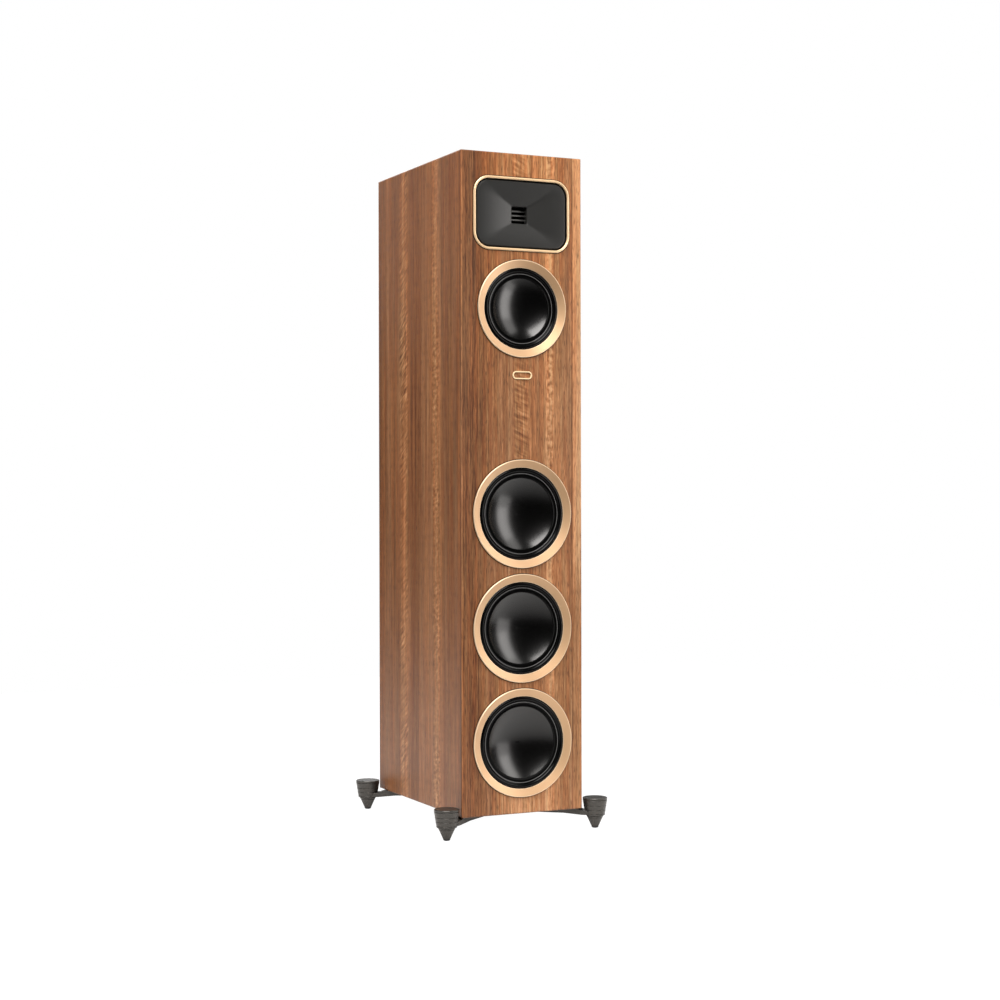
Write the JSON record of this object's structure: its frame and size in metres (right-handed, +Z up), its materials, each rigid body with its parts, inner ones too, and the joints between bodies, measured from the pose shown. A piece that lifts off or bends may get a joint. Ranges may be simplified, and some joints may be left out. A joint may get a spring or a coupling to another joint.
{
  "type": "floorstanding speaker",
  "caption": "Tall walnut-veneered floorstanding loudspeaker with dished black cones in gold rings, a flared rectangular tweeter waveguide and outrigger feet.",
  "frame": {"origin": "on the floor, under the centre of the overall bounding box, which is the centre of the cabinet", "axes": "+Z up, +X to the right when facing the way the viewer looks at the front, +Y to the back; the baffle faces -Y"},
  "size_m": [0.312, 0.391, 1.114],
  "materials": {
    "walnut_veneer": "satin walnut veneer with vertical grain",
    "fibreboard": "raw fibreboard",
    "wadding": "loose polyester wadding",
    "moulded_black": "fine satin moulding",
    "champagne_gold": "satin anodised champagne gold",
    "plate_steel": "zinc plated",
    "film": "metallised pleated film",
    "ferrite": "dull sintered ferrite",
    "basket_black": "black powder coat",
    "cone_black": "gloss black",
    "coil": "enamelled copper winding on a former",
    "roll_rubber": "smooth black rubber",
    "gold_plate": "gold plated",
    "red_plastic": "clear-coated red",
    "black_plastic": "clear-coated black",
    "circuit_board": "green solder resist",
    "coil_copper": "enamelled copper",
    "capacitor_film": "wrapped film",
    "cement": "white cement",
    "wire_jacket": "red insulated wire",
    "foot_metal": "dark grey satin coat",
    "foot_rubber": "black rubber",
    "screw_steel": "blackened steel"
  },
  "bodies": {
    "cabinet": {"front_baffle": "walnut_veneer", "left_side_panel": "walnut_veneer", "right_side_panel": "walnut_veneer", "top_panel": "walnut_veneer", "bottom_panel": "walnut_veneer", "rear_panel": "walnut_veneer", "chamber_shelf": "fibreboard", "window_braces": "fibreboard", "damping_wadding": "wadding", "reflex_ports": "moulded_black", "badge": "champagne_gold", "waveguide": "moulded_black", "waveguide_trim": "champagne_gold", "tweeter_front_plate": "plate_steel", "tweeter_diaphragm": "film", "tweeter_magnet": "ferrite", "midrange_trim_ring": "champagne_gold", "woofer_trim_rings": "champagne_gold", "midrange_basket": "basket_black", "midrange_motor": "plate_steel", "midrange_suspension": "roll_rubber", "woofer_1_basket": "basket_black", "woofer_1_motor": "plate_steel", "woofer_1_suspension": "roll_rubber", "woofer_2_basket": "basket_black", "woofer_2_motor": "plate_steel", "woofer_2_suspension": "roll_rubber", "woofer_3_basket": "basket_black", "woofer_3_motor": "plate_steel", "woofer_3_suspension": "roll_rubber", "terminal_cup": "moulded_black", "terminal_studs": "gold_plate", "crossover_board": "circuit_board", "crossover_inductors": "coil_copper", "crossover_capacitors": "capacitor_film", "crossover_resistors": "cement", "wiring_loom": "wire_jacket", "outriggers": "foot_metal", "foot_caps": "foot_metal", "mounting_screws": "screw_steel"},
    "midrange_moving_parts": {"midrange_cone": "cone_black", "midrange_voice_coil": "coil"},
    "woofer_1_moving_parts": {"woofer_1_cone": "cone_black", "woofer_1_voice_coil": "coil"},
    "woofer_2_moving_parts": {"woofer_2_cone": "cone_black", "woofer_2_voice_coil": "coil"},
    "woofer_3_moving_parts": {"woofer_3_cone": "cone_black", "woofer_3_voice_coil": "coil"},
    "red_washer": {"red_clamp_washer": "gold_plate"},
    "red_thumb_nut": {"red_knob": "red_plastic"},
    "black_washer": {"black_clamp_washer": "gold_plate"},
    "black_thumb_nut": {"black_knob": "black_plastic"},
    "foot_fl_tip": {"foot_fl_pad": "foot_rubber"},
    "foot_fl_screw": {"foot_fl_spike": "foot_metal"},
    "foot_fr_tip": {"foot_fr_pad": "foot_rubber"},
    "foot_fr_screw": {"foot_fr_spike": "foot_metal"},
    "foot_rl_tip": {"foot_rl_pad": "foot_rubber"},
    "foot_rl_screw": {"foot_rl_spike": "foot_metal"},
    "foot_rr_tip": {"foot_rr_pad": "foot_rubber"},
    "foot_rr_screw": {"foot_rr_spike": "foot_metal"}
  },
  "joints": [
    {"name": "midrange_stroke", "type": "slide", "parent": "cabinet", "child": "midrange_moving_parts", "axis": [0, -1, 0], "range_m": [-0.004, 0.004], "stiffness_N_per_m": 1200, "deforming": ["midrange_suspension"]},
    {"name": "woofer_1_stroke", "type": "slide", "parent": "cabinet", "child": "woofer_1_moving_parts", "axis": [0, -1, 0], "range_m": [-0.006, 0.006], "stiffness_N_per_m": 1200, "deforming": ["woofer_1_suspension"]},
    {"name": "woofer_2_stroke", "type": "slide", "parent": "cabinet", "child": "woofer_2_moving_parts", "axis": [0, -1, 0], "range_m": [-0.006, 0.006], "stiffness_N_per_m": 1200, "deforming": ["woofer_2_suspension"]},
    {"name": "woofer_3_stroke", "type": "slide", "parent": "cabinet", "child": "woofer_3_moving_parts", "axis": [0, -1, 0], "range_m": [-0.006, 0.006], "stiffness_N_per_m": 1200, "deforming": ["woofer_3_suspension"]},
    {"name": "red_clamp_travel", "type": "slide", "parent": "cabinet", "child": "red_washer", "axis": [0, 1, 0], "range_m": [0, 0.006]},
    {"name": "red_knob_turn", "type": "hinge", "parent": "red_washer", "child": "red_thumb_nut", "pos_m": [-0.00953, 0.183, 0.166], "axis": [0, 1, 0], "range_deg": [0, 2170]},
    {"name": "black_clamp_travel", "type": "slide", "parent": "cabinet", "child": "black_washer", "axis": [0, 1, 0], "range_m": [0, 0.006]},
    {"name": "black_knob_turn", "type": "hinge", "parent": "black_washer", "child": "black_thumb_nut", "pos_m": [0.00953, 0.183, 0.166], "axis": [0, 1, 0], "range_deg": [0, 2170]},
    {"name": "foot_fl_height", "type": "slide", "parent": "cabinet", "child": "foot_fl_tip", "axis": [0, 0, -1], "range_m": [0, 0.009]},
    {"name": "foot_fl_turn", "type": "hinge", "parent": "foot_fl_tip", "child": "foot_fl_screw", "pos_m": [-0.1355, -0.175, 0.02], "axis": [0, 0, -1], "range_deg": [0, 2170]},
    {"name": "foot_fr_height", "type": "slide", "parent": "cabinet", "child": "foot_fr_tip", "axis": [0, 0, -1], "range_m": [0, 0.009]},
    {"name": "foot_fr_turn", "type": "hinge", "parent": "foot_fr_tip", "child": "foot_fr_screw", "pos_m": [0.1355, -0.175, 0.02], "axis": [0, 0, -1], "range_deg": [0, 2170]},
    {"name": "foot_rl_height", "type": "slide", "parent": "cabinet", "child": "foot_rl_tip", "axis": [0, 0, -1], "range_m": [0, 0.009]},
    {"name": "foot_rl_turn", "type": "hinge", "parent": "foot_rl_tip", "child": "foot_rl_screw", "pos_m": [-0.1355, 0.17, 0.02], "axis": [0, 0, -1], "range_deg": [0, 2170]},
    {"name": "foot_rr_height", "type": "slide", "parent": "cabinet", "child": "foot_rr_tip", "axis": [0, 0, -1], "range_m": [0, 0.009]},
    {"name": "foot_rr_turn", "type": "hinge", "parent": "foot_rr_tip", "child": "foot_rr_screw", "pos_m": [0.1355, 0.17, 0.02], "axis": [0, 0, -1], "range_deg": [0, 2170]}
  ],
  "couplings": [
    {"joint": "red_knob_turn", "follows": "red_clamp_travel", "rad_per_m": 6283.2},
    {"joint": "black_knob_turn", "follows": "black_clamp_travel", "rad_per_m": 6283.2},
    {"joint": "foot_fl_turn", "follows": "foot_fl_height", "rad_per_m": 4188.8},
    {"joint": "foot_fr_turn", "follows": "foot_fr_height", "rad_per_m": 4188.8},
    {"joint": "foot_rl_turn", "follows": "foot_rl_height", "rad_per_m": 4188.8},
    {"joint": "foot_rr_turn", "follows": "foot_rr_height", "rad_per_m": 4188.8}
  ]
}
